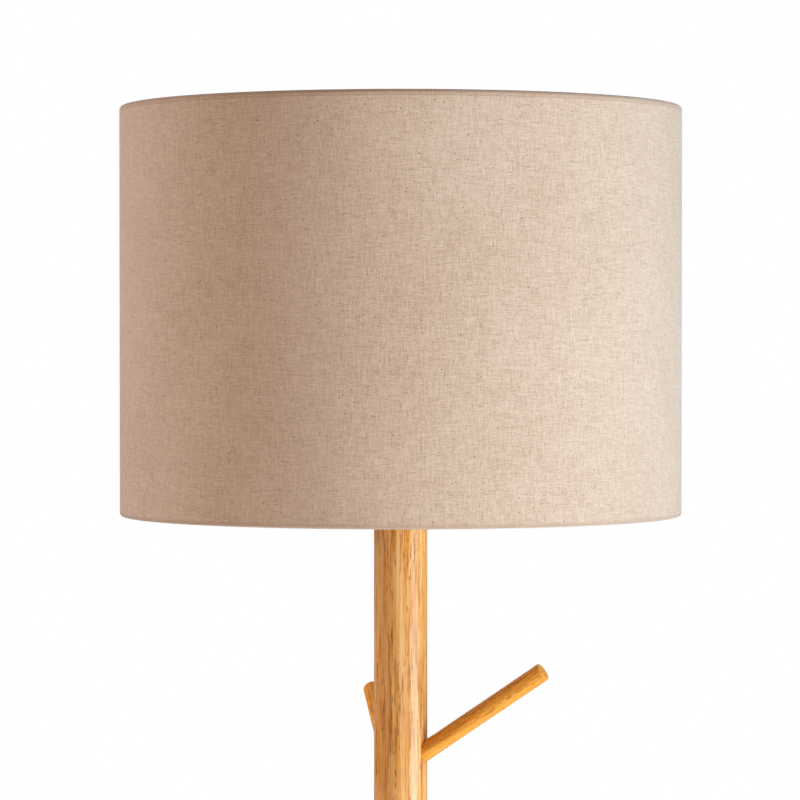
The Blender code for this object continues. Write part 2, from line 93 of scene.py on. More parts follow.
def noise_at(tree, place, size, detail=2.0, roughness=0.5):
    """Noise whose features are about as large as size, in metres."""
    sockets = {"Vector": place, "Scale": 1.0 / size, "Detail": detail, "Roughness": roughness}
    return node(tree, "ShaderNodeTexNoise", sockets).outputs["Fac"]


def new_group(name, inputs, outputs):
    """A node group with named sockets, and its input and output nodes."""
    tree = bpy.data.node_groups.new(name, "ShaderNodeTree")
    for label, kind, value in inputs:
        socket = tree.interface.new_socket(label, in_out="INPUT", socket_type=kind)
        socket.default_value = value
    for label, kind in outputs:
        tree.interface.new_socket(label, in_out="OUTPUT", socket_type=kind)
    return tree, tree.nodes.new("NodeGroupInput").outputs, tree.nodes.new("NodeGroupOutput").inputs


def build_moulded_surface():
    """Fine grain, soft blotches and a little handling dust, for rubber, plastic, paint and metal."""
    tree, given, put = new_group(
        "moulded_surface",
        [
            ("Color", "NodeSocketColor", (0.5, 0.5, 0.5, 1)),
            ("Worn Color", "NodeSocketColor", (0.6, 0.6, 0.6, 1)),
            ("Blotch Size", "NodeSocketFloat", 0.02),
            ("Blotch Amount", "NodeSocketFloat", 0.3),
            ("Grain Size", "NodeSocketFloat", 0.0005),
            ("Roughness", "NodeSocketFloat", 0.4),
            ("Roughness Spread", "NodeSocketFloat", 0.1),
        ],
        [("Color", "NodeSocketColor"), ("Roughness", "NodeSocketFloat"), ("Height", "NodeSocketFloat")],
    )
    place = node(tree, "ShaderNodeTexCoord").outputs["Object"]
    blotch_scale = maths(tree, "DIVIDE", 1.0, given["Blotch Size"])
    blotch = node(tree, "ShaderNodeTexNoise", {"Vector": place, "Scale": blotch_scale, "Detail": 4.0})
    grain_scale = maths(tree, "DIVIDE", 1.0, given["Grain Size"])
    grain = node(tree, "ShaderNodeTexNoise", {"Vector": place, "Scale": grain_scale, "Detail": 2.0})
    worn = stretched(tree, blotch.outputs["Fac"], 0.4, 0.75)
    amount = maths(tree, "MULTIPLY", worn, given["Blotch Amount"])
    colour = mixed(tree, amount, given["Color"], given["Worn Color"])
    tree.links.new(colour, put["Color"])
    uneven = maths(tree, "SUBTRACT", blotch.outputs["Fac"], 0.5)
    spread = maths(tree, "MULTIPLY", uneven, given["Roughness Spread"])
    tree.links.new(maths(tree, "ADD", given["Roughness"], spread), put["Roughness"])
    tree.links.new(grain.outputs["Fac"], put["Height"])
    return tree


moulded_surface = build_moulded_surface()


def new_finish(name):
    """A material with its node tree and its Principled shader."""
    finish = bpy.data.materials.new(name)
    finish.use_nodes = True
    return finish, finish.node_tree, finish.node_tree.nodes["Principled BSDF"]


def moulded_finish(name, colour, worn, roughness, spread=0.12, blotch=0.02, amount=0.35,
                   grain=0.0005, bump=0.00002, **fixed):
    """A material on the moulded surface group; fixed values go straight on the shader."""
    finish, tree, shader = new_finish(name)
    surface = node(tree, "ShaderNodeGroup", node_tree=moulded_surface)
    values = {
        "Color": (*colour, 1),
        "Worn Color": (*worn, 1),
        "Blotch Size": blotch,
        "Blotch Amount": amount,
        "Grain Size": grain,
        "Roughness": roughness,
        "Roughness Spread": spread,
    }
    for label, value in values.items():
        surface.inputs[label].default_value = value
    tree.links.new(surface.outputs["Color"], shader.inputs["Base Color"])
    tree.links.new(surface.outputs["Roughness"], shader.inputs["Roughness"])
    relief = node(tree, "ShaderNodeBump", {"Height": surface.outputs["Height"], "Distance": bump})
    tree.links.new(relief.outputs["Normal"], shader.inputs["Normal"])
    for label, value in fixed.items():
        shader.inputs[label.replace("_", " ")].default_value = value
    return finish


def rounded(outline, radius, steps=4):
    """An outline of (radius, height) whose corners off the axis are rounded."""
    eased = []
    for i, corner in enumerate(outline):
        here = Vector(corner)
        before = Vector(outline[i - 1]) - here
        after = Vector(outline[(i + 1) % len(outline)]) - here
        stays = corner[0] == 0 or before.length == 0 or after.length == 0
        if stays or before.angle(after) > ALMOST_STRAIGHT:
            eased.append(tuple(here))
            continue
        reach = min(radius, CORNER_SHARE * before.length, CORNER_SHARE * after.length)
        start = here + before.normalized() * reach
        end = here + after.normalized() * reach
        for step in range(steps + 1):
            t = step / steps
            eased.append(tuple(start * (1 - t) ** 2 + here * 2 * t * (1 - t) + end * t ** 2))
    return eased


def swept(rings):
    """A mesh from a closed path of rings of points; a ring of one point is a pole."""
    bm = bmesh.new()
    made = [[bm.verts.new(point) for point in ring] for ring in rings]
    most = max(len(ring) for ring in made)
    for ring, after in zip(made, made[1:] + made[:1]):
        for i in range(most):
            j = (i + 1) % most
            corners = [ring[i % len(ring)], ring[j % len(ring)], after[j % len(after)], after[i % len(after)]]
            corners = list(dict.fromkeys(corners))
            if len(corners) > 2:
                bm.faces.new(corners)
    bmesh.ops.recalc_face_normals(bm, faces=bm.faces)
    return bm


def turned(outline, sides=64, reach=None):
    """A mesh turned round Z from a closed outline of (radius, height).

    reach(radius, height, angle) may move a point in or out, for knurls and threads.
    """
    rings = []
    for radius, height in outline:
        if radius == 0:
            rings.append([(0, 0, height)])
            continue
        ring = []
        for i in range(sides):
            angle = math.tau * i / sides
            out = reach(radius, height, angle) if reach else radius
            ring.append((out * math.cos(angle), out * math.sin(angle), height))
        rings.append(ring)
    return swept(rings)


def piece(name, bm, finish, body, stands_for, sharp=40):
    """A visible piece that rides on a body and stands for CAD nodes."""
    mesh = bpy.data.meshes.new(name)
    bm.to_mesh(mesh)
    bm.free()
    mesh.materials.append(finish)
    mesh.shade_smooth()
    mesh.set_sharp_from_angle(angle=math.radians(sharp))
    obj = bpy.data.objects.new(name, mesh)
    bpy.context.scene.collection.objects.link(obj)
    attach(obj, body)
    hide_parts(*stands_for)
    return obj


def tube(inner, outer, low, high):
    """The outline of a tube or, with no inner radius, of a disc."""
    return [(inner, low), (outer, low), (outer, high), (inner, high)]


def far_corners(name):
    """The lowest and the highest corner of the box round a CAD node."""
    return [Vector(corner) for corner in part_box(name)]


pad_rubber = moulded_finish(
    "pad_rubber", (0.030, 0.029, 0.028), (0.090, 0.085, 0.078), 0.72, blotch=0.004, grain=0.0004, bump=0.00005
)
foot_centres = []
for number in (1, 2, 3):
    low, high = far_corners(f"foot_pad_{number}")
    centre = (low + high) / 2
    foot_centres.append(Vector((centre.x, centre.y, 0)))
    radius = (high.x - low.x) / 2
    height = high.z
    groove = [height * share for share in PAD_GROOVE_SHARES]
    side = [
        (radius, 0),
        (radius, groove[0]),
        (radius - PAD_GROOVE, groove[1]),
        (radius - PAD_GROOVE, groove[2]),
        (radius, groove[3]),
        (radius, height),
    ]
    outline = [(0, 0), *side, (0, height)]
    pad = piece(
        f"rubber_pad_{number}", turned(rounded(outline, PAD_EDGE), 48), pad_rubber, "lamp",
        [f"foot_pad_{number}"]
    )
    pad.location = foot_centres[-1]


# Legs
# Three dowels of honey-coloured rubberwood, tapered towards the floor and sawn level at the foot.
# Each stands in a slanted socket in the hub and is lacquered clear.

LEG_TOP_OUT = 0.022
LEG_TOP_UP = 0.048
LEG_TOP_R = 0.013
LEG_FOOT_R = 0.010
LEG_SPARE = 0.020
LEG_EDGE = 0.0010
FOOT_EDGE = 0.0008
CONTACT_GAP = 0.0003


def build_wood_figure():
    """Growth bands, fibres, brown streaks and short dark pores that run along a piece's own Z."""
    tree, given, put = new_group(
        "wood_figure",
        [
            ("Pale", "NodeSocketColor", (0.7, 0.4, 0.16, 1)),
            ("Deep", "NodeSocketColor", (0.5, 0.25, 0.08, 1)),
            ("Streak", "NodeSocketColor", (0.3, 0.13, 0.04, 1)),
            ("Pore", "NodeSocketColor", (0.13, 0.05, 0.015, 1)),
            ("Fineness", "NodeSocketFloat", 1.0),
            ("Band Width", "NodeSocketFloat", 0.009),
            ("Streak Amount", "NodeSocketFloat", 0.6),
            ("Pore Amount", "NodeSocketFloat", 0.8),
        ],
        [("Color", "NodeSocketColor"), ("Height", "NodeSocketFloat"), ("Gloss Loss", "NodeSocketFloat")],
    )
    own = node(tree, "ShaderNodeObjectInfo").outputs["Random"]
    shift = node(tree, "ShaderNodeCombineXYZ", {"X": own, "Y": own, "Z": maths(tree, "MULTIPLY", own, 7.0)})
    place = node(
        tree, "ShaderNodeVectorMath",
        {0: node(tree, "ShaderNodeTexCoord").outputs["Object"], 1: shift.outputs[0]}, operation="ADD"
    ).outputs[0]

    def along_grain(squeeze):
        """Coordinates that stretch features along the grain."""
        scaled = node(tree, "ShaderNodeVectorMath", {0: place, "Scale": given["Fineness"]}, operation="SCALE")
        sockets = {"Vector": scaled.outputs[0], "Scale": (1, 1, squeeze)}
        return node(tree, "ShaderNodeMapping", sockets).outputs[0]

    drift = noise_at(tree, along_grain(0.12), 0.060, 2.0)
    across = node(tree, "ShaderNodeSeparateXYZ", {0: place}).outputs
    wander = maths(tree, "MULTIPLY", drift, 0.055)
    ring = maths(tree, "ADD", maths(tree, "MULTIPLY_ADD", across["X"], 1.0, wander), across["Y"])
    turns = maths(tree, "MULTIPLY", maths(tree, "DIVIDE", ring, given["Band Width"]), math.tau)
    bands = stretched(tree, maths(tree, "SINE", turns), -1.0, 1.0)
    tone = noise_at(tree, along_grain(0.09), 0.016, 3.0)
    fibre = noise_at(tree, along_grain(0.02), 0.0011, 3.0, 0.6)
    streak = stretched(tree, noise_at(tree, along_grain(0.06), 0.0030, 4.0, 0.70), 0.50, 0.65)
    pore_field = noise_at(tree, along_grain(0.11), 0.00120, 2.0, 0.55)
    pore_zone = stretched(tree, noise_at(tree, along_grain(0.12), 0.009, 2.0), 0.40, 0.62, 0.25, 1.0)
    pores = maths(tree, "MULTIPLY", stretched(tree, pore_field, 0.585, 0.675), pore_zone)
    depth = maths(tree, "MULTIPLY_ADD", bands, 0.30, maths(tree, "MULTIPLY", tone, 0.75))
    depth = maths(tree, "MULTIPLY_ADD", stretched(tree, fibre, 0.38, 0.62), 0.55, depth)
    depth = stretched(tree, depth, 0.35, 1.10)
    colour = mixed(tree, depth, given["Pale"], given["Deep"])
    colour = mixed(tree, maths(tree, "MULTIPLY", streak, given["Streak Amount"]), colour, given["Streak"])
    dark = maths(tree, "MULTIPLY", pores, given["Pore Amount"])
    colour = mixed(tree, dark, colour, given["Pore"])
    tree.links.new(colour, put["Color"])
    relief = maths(tree, "MULTIPLY_ADD", fibre, 0.25, maths(tree, "MULTIPLY", pores, -1.0))
    tree.links.new(relief, put["Height"])
    dulled = maths(tree, "MULTIPLY_ADD", tone, 0.6, maths(tree, "MULTIPLY", pores, 0.4))
    tree.links.new(dulled, put["Gloss Loss"])
    return tree


wood_figure = build_wood_figure()


def wood_finish(name, pale, deep, streak, pore, fineness=1.0, band=0.009, streak_amount=0.85,
                pore_amount=0.80, roughness=0.40, coat=0.40):
    """Rubberwood under a thin coat of clear satin lacquer."""
    finish, tree, shader = new_finish(name)
    figure = node(tree, "ShaderNodeGroup", node_tree=wood_figure)
    for label, value in (("Pale", pale), ("Deep", deep), ("Streak", streak), ("Pore", pore)):
        figure.inputs[label].default_value = (*value, 1)
    figure.inputs["Fineness"].default_value = fineness
    figure.inputs["Band Width"].default_value = band
    figure.inputs["Streak Amount"].default_value = streak_amount
    figure.inputs["Pore Amount"].default_value = pore_amount
    tree.links.new(figure.outputs["Color"], shader.inputs["Base Color"])
    rough = maths(tree, "MULTIPLY_ADD", figure.outputs["Gloss Loss"], 0.14, roughness - 0.05)
    tree.links.new(rough, shader.inputs["Roughness"])
    relief = node(tree, "ShaderNodeBump", {"Height": figure.outputs["Height"], "Distance": 0.00003})
    tree.links.new(relief.outputs["Normal"], shader.inputs["Normal"])
    shader.inputs["Specular IOR Level"].default_value = 0.20
    shader.inputs["Coat Weight"].default_value = coat
    shader.inputs["Coat Roughness"].default_value = 0.30
    return finish


def pointed(start, direction):
    """The place of a piece whose own Z runs along a direction."""
    turn = Vector(direction).to_track_quat("Z", "Y").to_matrix().to_4x4()
    return Matrix.Translation(start) @ turn


def sawn_level(bm, place, height):
    """Cuts a mesh level at a height in the room and closes it."""
    inverse = place.inverted()
    point = inverse @ Vector((0, 0, height))
    normal = inverse.to_3x3() @ Vector((0, 0, -1))
    everything = bm.verts[:] + bm.edges[:] + bm.faces[:]
    cut = bmesh.ops.bisect_plane(bm, geom=everything, plane_co=point, plane_no=normal, clear_outer=True)
    rim = [part for part in cut["geom_cut"] if isinstance(part, bmesh.types.BMEdge)]
    bmesh.ops.contextual_create(bm, geom=rim)
    bmesh.ops.recalc_face_normals(bm, faces=bm.faces)


def eased_edges(obj, width, angle=50):
    """Breaks a piece's sharp edges."""
    bevel = obj.modifiers.new("broken edge", "BEVEL")
    bevel.width = width
    bevel.segments = 2
    bevel.limit_method = "ANGLE"
    bevel.angle_limit = math.radians(angle)


post_wood = wood_finish(
    "post_wood", (0.830, 0.515, 0.225), (0.690, 0.275, 0.030), (0.380, 0.088, 0.002), (0.160, 0.032, 0.001)
)
hub_low, hub_high = far_corners("leg_hub")
leg_places = []
for number, foot in enumerate(foot_centres, 1):
    out = foot.normalized()
    top = out * LEG_TOP_OUT + Vector((0, 0, hub_low.z + LEG_TOP_UP))
    run = foot + Vector((0, 0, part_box(f"foot_pad_{number}")[1][2])) - top
    place = pointed(top, run)
    leg_places.append(place)
    end = run.length + LEG_SPARE
    end_r = LEG_FOOT_R - (LEG_TOP_R - LEG_FOOT_R) * LEG_SPARE / run.length
    outline = rounded([(0, 0), (LEG_TOP_R, 0), (end_r, end), (0, end)], LEG_EDGE)
    stick = turned(outline, 64)
    sawn_level(stick, place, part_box(f"foot_pad_{number}")[1][2] + CONTACT_GAP)
    leg = piece(f"tapered_leg_{number}", stick, post_wood, "lamp", [f"leg_{number}"])
    leg.matrix_world = place
    eased_edges(leg, FOOT_EDGE)


# Leg inserts and bolts
# Brass inserts pressed into the hub over each leg, and zinc-plated bolts screwed through them into
# the legs. They keep the plain shapes of the frame, since the hub and legs close over them.

brass_finish = moulded_finish(
    "turned_brass", (0.72, 0.52, 0.22), (0.50, 0.34, 0.14), 0.26, blotch=0.006, grain=0.0003, Metallic=1.0
)
zinc_finish = moulded_finish(
    "zinc_plate", (0.66, 0.67, 0.68), (0.52, 0.52, 0.50), 0.30, blotch=0.003, grain=0.0004, Metallic=1.0
)


def refinish(finish, *names):
    """Gives CAD nodes that keep their shape a better material."""
    for name in names:
        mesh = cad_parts[name].data
        mesh.materials.clear()
        mesh.materials.append(finish)


refinish(brass_finish, *(f"leg_insert_{number}" for number in (1, 2, 3)))
refinish(zinc_finish, *(f"leg_bolt_{number}" for number in (1, 2, 3)))


# Leg hub
# A block of the same wood, turned with a round shoulder, drilled at a slant for the three legs and
# counterbored below for the nut. The post stands in a shallow seat in its top.

HUB_CORNER = 0.0016
SEAT_DEPTH = 0.012
NUT_WELL = 0.014
NUT_WELL_R = 0.0172
HUB_BORE_R = 0.0053
POST_R = 0.020
HUB_NECK_R = 0.030
BELLY_LOW = 0.022
BELLY_HIGH = 0.046
HUB_FOOT_R = 0.0345
HUB_RIM = 0.002
HUB_TOP_DROP = 0.003
SHOULDER_STEPS = 14
BOLT_PATH_R = 0.0058
BOLT_PATH = 0.0128
DRILL_RUN = 0.1

hub_r = (hub_high.x - hub_low.x) / 2
base = hub_low.z
shoulder_rise = hub_high.z - HUB_TOP_DROP - (base + BELLY_HIGH)
shoulder = []
for step in range(SHOULDER_STEPS + 1):
    angle = math.pi / 2 * step / SHOULDER_STEPS
    shoulder.append((
        HUB_NECK_R + (hub_r - HUB_NECK_R) * math.cos(angle),
        base + BELLY_HIGH + shoulder_rise * math.sin(angle),
    ))
outline = [
    (HUB_BORE_R, base + NUT_WELL),
    (NUT_WELL_R, base + NUT_WELL),
    (NUT_WELL_R, base),
    (HUB_FOOT_R, base),
    (hub_r, base + BELLY_LOW),
    *shoulder,
    (HUB_NECK_R - HUB_RIM, hub_high.z),
    (POST_R + CONTACT_GAP, hub_high.z),
    (POST_R + CONTACT_GAP, hub_high.z - SEAT_DEPTH),
    (HUB_BORE_R, hub_high.z - SEAT_DEPTH),
]
hub = piece(
    "turned_hub", turned(rounded(outline, HUB_CORNER), 128), post_wood, "lamp", ["leg_hub"]
)


def hollowed(obj, name, outline, place, sides=64):
    """Drills a turned shape out of a piece."""
    drill_mesh = bpy.data.meshes.new(name)
    bm = turned(outline, sides)
    bm.to_mesh(drill_mesh)
    bm.free()
    drill = bpy.data.objects.new(name, drill_mesh)
    bpy.context.scene.collection.objects.link(drill)
    drill.matrix_world = place
    bpy.context.view_layer.update()
    hole = obj.modifiers.new(name, "BOOLEAN")
    hole.operation = "DIFFERENCE"
    hole.object = drill
    return drill


def applied(obj, helpers):
    """Makes a piece's modifiers permanent and removes the helpers that they used."""
    graph = bpy.context.evaluated_depsgraph_get()
    finished = bpy.data.meshes.new_from_object(obj.evaluated_get(graph))
    obj.modifiers.clear()
    obj.data = finished
    for helper in helpers:
        bpy.data.objects.remove(helper, do_unlink=True)
    finished.set_sharp_from_angle(angle=math.radians(40))


socket = [
    (0, -BOLT_PATH),
    (BOLT_PATH_R, -BOLT_PATH),
    (BOLT_PATH_R, -CONTACT_GAP),
    (LEG_TOP_R + CONTACT_GAP, -CONTACT_GAP),
    (LEG_TOP_R + CONTACT_GAP, DRILL_RUN),
    (0, DRILL_RUN),
]
drills = [hollowed(hub, f"socket_drill_{i}", socket, place) for i, place in enumerate(leg_places)]
applied(hub, drills)


# Hub fixings and gland
# A threaded lamp tube, a washer and a nut pull the post down on the hub. A moulded black gland
# closes the counterbore and guides the flex.

GLAND_BORE_R = 0.0031
GLAND_MOUTH_R = 0.0078
GLAND_LIP_R = 0.0088
GLAND_LIP = 0.0009
GLAND_FLANGE = 0.0021
GLAND_PLUG_R = 0.0168
GLAND_EDGE = 0.0006

gland_finish = moulded_finish(
    "black_thermoset", (0.020, 0.020, 0.021), (0.045, 0.044, 0.042), 0.34, blotch=0.008, grain=0.0006,
    bump=0.00003, Coat_Weight=0.15, Coat_Roughness=0.3
)
refinish(zinc_finish, "hub_tube", "hub_washer", "hub_nut")
low, high = far_corners("cord_gland")
gland_r = (high.x - low.x) / 2
outline = [
    (GLAND_BORE_R, low.z),
    (GLAND_MOUTH_R, low.z),
    (GLAND_LIP_R, low.z + GLAND_LIP),
    (gland_r, base - GLAND_FLANGE),
    (gland_r, base - CONTACT_GAP),
    (GLAND_PLUG_R, base - CONTACT_GAP),
    (GLAND_PLUG_R, high.z),
    (GLAND_BORE_R, high.z),
]
piece(
    "moulded_gland", turned(rounded(outline, GLAND_EDGE), 72), gland_finish, "lamp", ["cord_gland"],
)


# Post
# Two lengths of 40 mm dowel with a bore for the flex, screwed together on a hollow stud between
# brass inserts. Their ends are lightly chamfered, so the joint shows as a fine groove.

POST_CHAMFER = 0.0006
BORE_R = 0.0055
POCKET_R = 0.0083
POCKET = 0.0185
NUT_POCKET_R = 0.0095
NUT_POCKET = 0.008
PEG_R = 0.007
PEG_RISE = math.radians(34.2)
PEG_START = 0.0135
PEG_REACH = 0.1348
PEG_DRILL = 0.05
SCREW_HOLE_R = 0.0017
SCREW_HOLE = 0.0120
SCREW_CLEAR = 0.001
shade_low, shade_high = far_corners("shade_cover")
PEGS = {"peg_right": (108.5, 0.190), "peg_back": (348.5, 0.216), "peg_front": (228.5, 0.310)}


def dowel(low, high, low_pocket, high_pocket):
    """A bored length of post, with a pocket of (radius, depth) in each end."""
    outline = [
        (low_pocket[0], low),
        (POST_R, low),
        (POST_R, high),
        (high_pocket[0], high),
        (high_pocket[0], high - high_pocket[1]),
        (BORE_R, high - high_pocket[1]),
        (BORE_R, low + low_pocket[1]),
        (low_pocket[0], low + low_pocket[1]),
    ]
    return turned(rounded(outline, POST_CHAMFER), 128)


def peg_place(name):
    """A peg's own Z runs out along it from the post's axis."""
    azimuth, drop = PEGS[name]
    turn = math.radians(azimuth)
    out = Vector((math.sin(turn), math.cos(turn), 0))
    root = Vector((0, 0, shade_low.z - drop))
    return pointed(root, out * math.cos(PEG_RISE) + Vector((0, 0, math.sin(PEG_RISE))))


low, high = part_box("post_lower")
piece(
    "post_lower_dowel", dowel(low[2], high[2], (POCKET_R, POCKET), (POCKET_R, POCKET)), post_wood, "lamp",
    ["post_lower"]
)
low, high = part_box("post_upper")
post_top = high[2]
post = piece(
    "post_upper_dowel", dowel(low[2], high[2], (POCKET_R, POCKET), (NUT_POCKET_R, NUT_POCKET)), post_wood,
    "lamp", ["post_upper"]
)
peg_hole = tube(0, PEG_R + CONTACT_GAP, PEG_START - CONTACT_GAP, PEG_DRILL)
drills = [hollowed(post, f"{name}_drill", peg_hole, peg_place(name), 48) for name in PEGS]
screw_hole = tube(0, SCREW_HOLE_R, post_top - SCREW_HOLE, post_top + SCREW_CLEAR)
for number in (1, 2, 3):
    low, high = far_corners(f"plate_screw_{number}")
    middle = (low + high) / 2
    place = Matrix.Translation((middle.x, middle.y, 0))
    drills.append(hollowed(post, f"screw_drill_{number}", screw_hole, place, 16))
applied(post, drills)
refinish(brass_finish, *(f"post_insert_{number}" for number in (1, 2, 3)))
refinish(zinc_finish, "post_stud")


# Pegs
# Three 14 mm dowels, browner than the post, glued into blind holes that slant up. Each tip is cut
# square and its edge is sanded round.

TIP_ROUND = 0.0014
peg_wood = wood_finish(
    "peg_wood", (0.950, 0.440, 0.072), (0.780, 0.285, 0.026), (0.360, 0.090, 0.006), (0.120, 0.028, 0.003),
    fineness=1.7, band=0.006, streak_amount=0.75, pore_amount=0.8, roughness=0.44, coat=0.2
)
for name in PEGS:
    outline = tube(0, PEG_R, PEG_START, PEG_REACH)
    peg = piece(
        f"{name}_dowel", turned(rounded(outline, TIP_ROUND, 6), 64), peg_wood, "lamp", [name]
    )
    peg.matrix_world = peg_place(name)


# Top plate, nipple and nut
# A zinc-plated disc held on the end of the post by three small screws, and the threaded nipple
# and nut that the lampholder stands on.

refinish(zinc_finish, "top_plate", "nipple", "nipple_nut")
refinish(zinc_finish, *(f"plate_screw_{number}" for number in (1, 2, 3)))


# Lampholder
# A black moulded cup and a threaded skirt round a ceramic terminal block, with a brass screw shell
# that takes the bulb's cap and a sprung contact under it.

EDISON_PITCH = 0.00362
SKIRT_PITCH = 0.0025
SKIRT_THREAD = 0.0007
SKIRT_PLAIN = 0.004
SKIRT_BORE_R = 0.0146
SKIRT_LIP = 0.0006
SKIRT_CHAMFER = 0.0008
SKIRT_ROWS = 120
SKIRT_FADE = 0.0015
CUP_FOOT_R = 0.0130
CUP_FOOT = 0.0022
CUP_SHOULDER = 0.0084
CUP_GROOVE = 0.0006
CUP_GROOVE_UP = (0.0120, 0.0124, 0.0132, 0.0136)
CUP_INNER_R = 0.0170
CUP_FLOOR_R = 0.0118
CUP_FLOOR = 0.0020
CUP_FLOOR_SLOPE = (0.0046, 0.0096)
CUP_EDGE = 0.0005
BAR_SLOT_R = 0.0026
BAR_SLOT_REACH = 0.04
SHELL_WALL = 0.0003
SHELL_GAP = 0.00005
SHELL_ROOT_R = 0.01365
SHELL_FADE = 0.002
THREAD_ROWS = 90
CREST_BAND = 0.0001


def thread_wave(height, angle, pitch):
    """Where a point lies on a screw thread, from 0 at the root to 1 at the crest."""
    phase = (height / pitch - angle / math.tau) % 1.0
    return 0.5 - 0.5 * math.cos(math.tau * phase)


def faded(height, low, high, run):
    """1 inside a threaded stretch, falling to 0 over a run at both ends."""
    return max(0.0, min(1.0, (height - low) / run, (high - height) / run))


def fine_side(radius, low, high, rows):
    """Evenly spaced points up a straight side, close enough to carry a thread."""
    return [(radius, low + (high - low) * i / rows) for i in range(rows + 1)]


ceramic_finish = moulded_finish(
    "steatite", (0.74, 0.71, 0.64), (0.60, 0.56, 0.49), 0.55, blotch=0.005, grain=0.0005, bump=0.00004
)
refinish(ceramic_finish, "terminal_block")
refinish(brass_finish, "centre_contact")
low, high = far_corners("holder_cup")
holder_r = (high.x - low.x) / 2
cup_base = low.z
outline = [
    (HUB_BORE_R, cup_base),
    (CUP_FOOT_R, cup_base),
    (CUP_FOOT_R, cup_base + CUP_FOOT),
    (holder_r, cup_base + CUP_SHOULDER),
    (holder_r, cup_base + CUP_GROOVE_UP[0]),
    (holder_r - CUP_GROOVE, cup_base + CUP_GROOVE_UP[1]),
    (holder_r - CUP_GROOVE, cup_base + CUP_GROOVE_UP[2]),
    (holder_r, cup_base + CUP_GROOVE_UP[3]),
    (holder_r, high.z),
    (CUP_INNER_R, high.z),
    (CUP_INNER_R, cup_base + CUP_FLOOR_SLOPE[1]),
    (CUP_FLOOR_R, cup_base + CUP_FLOOR_SLOPE[0]),
    (CUP_FLOOR_R, cup_base + CUP_FLOOR),
    (HUB_BORE_R, cup_base + CUP_FLOOR),
]
cup = piece(
    "moulded_cup", turned(rounded(outline, CUP_EDGE), 96), gland_finish, "lamp", ["holder_cup"],
)
bar_low, bar_high = far_corners("switch_bar")
bar_middle = (bar_low + bar_high) / 2
slot_place = pointed((0, bar_middle.y, bar_middle.z), (1, 0, 0))
bar_slot = tube(0, BAR_SLOT_R, -BAR_SLOT_REACH, BAR_SLOT_REACH)
applied(cup, [hollowed(cup, "slot_drill", bar_slot, slot_place, 32)])

low, high = far_corners("holder_skirt")
crest_r = (high.x - low.x) / 2
outline = [
    (SKIRT_BORE_R, low.z),
    (crest_r - SKIRT_CHAMFER, low.z),
    *fine_side(crest_r, low.z + SKIRT_LIP, high.z - SKIRT_LIP, SKIRT_ROWS),
    (crest_r - SKIRT_CHAMFER, high.z),
    (SKIRT_BORE_R, high.z),
]


def skirt_reach(radius, height, angle):
    """The shade rings' thread, cut into the skirt's outer side above a plain collar."""
    if radius < crest_r - CREST_BAND:
        return radius
    cut = faded(height, low.z + SKIRT_PLAIN, high.z, SKIRT_FADE) * SKIRT_THREAD
    return radius - cut * (1 - thread_wave(height, angle, SKIRT_PITCH))


piece(
    "threaded_skirt", turned(outline, 96, skirt_reach), gland_finish, "lamp", ["holder_skirt"],
)

low, high = far_corners("screw_shell")
shell_crest = (high.x - low.x) / 2 - SHELL_WALL - SHELL_GAP
inside = fine_side(SHELL_ROOT_R, low.z, high.z, THREAD_ROWS)
outline = [(r + SHELL_WALL, z) for r, z in inside] + inside[::-1]


def shell_reach(radius, height, angle):
    """The rounded thread rolled into the thin brass."""
    swell = faded(height, low.z, high.z, SHELL_FADE) * (shell_crest - SHELL_ROOT_R)
    return radius + swell * thread_wave(height, angle, EDISON_PITCH)


piece("rolled_screw_shell", turned(outline, 96, shell_reach), brass_finish, "lamp", ["screw_shell"])


# Switch bar
# A white moulded bar that slides through the cup from side to side, with a round button at each end.
# Pressing one button switches the lamp on, and pressing the other switches it off.

BAR_R = 0.0022
BUTTON = 0.0030
BUTTON_EDGE = 0.0008

white_finish = moulded_finish(
    "white_thermoplastic", (0.78, 0.775, 0.75), (0.66, 0.65, 0.61), 0.38, blotch=0.01, amount=0.3,
    grain=0.0006, Coat_Weight=0.1, Coat_Roughness=0.3
)
button_r = (bar_high.z - bar_low.z) / 2
left, right = bar_low.x, bar_high.x
outline = [
    (0, left), (button_r, left), (button_r, left + BUTTON), (BAR_R, left + BUTTON),
    (BAR_R, right - BUTTON), (button_r, right - BUTTON), (button_r, right), (0, right),
]
bar = piece(
    "push_bar", turned(rounded(outline, BUTTON_EDGE), 48), white_finish, "switch", ["switch_bar"],
)
bar.matrix_world = slot_place


# Flex and cores
# The black sheathed flex runs up inside the post, and its two cores go to the terminals. They can't
# be seen from outside, so they keep the plain shapes of the frame.

flex_finish = moulded_finish(
    "flex_sheath", (0.025, 0.025, 0.025), (0.055, 0.053, 0.050), 0.48, blotch=0.01, grain=0.0008
)
refinish(flex_finish, "inner_flex")
refinish(brass_finish, "flex_core_1", "flex_core_2")


# Shade wires and carrier
# Powder-coated steel wire: a loose ring for the top hem, and below it a ring welded to three arms
# and a flat fitter that sits round the lampholder.

WIRE_R = 0.0015
WIRE_STEPS = 14
FITTER_BORE_R = 0.0207
FITTER_R = 0.0305
FITTER_H = 0.0020
FITTER_EDGE = 0.0004
ARM_AZIMUTHS = (90, 210, 330)
RING_SIDES = 192


def hoop(radius, height):
    """A ring of round wire."""
    angles = [math.tau * i / WIRE_STEPS for i in range(WIRE_STEPS)]
    outline = [(radius + WIRE_R * math.cos(a), height + WIRE_R * math.sin(a)) for a in angles]
    return turned(outline, RING_SIDES)


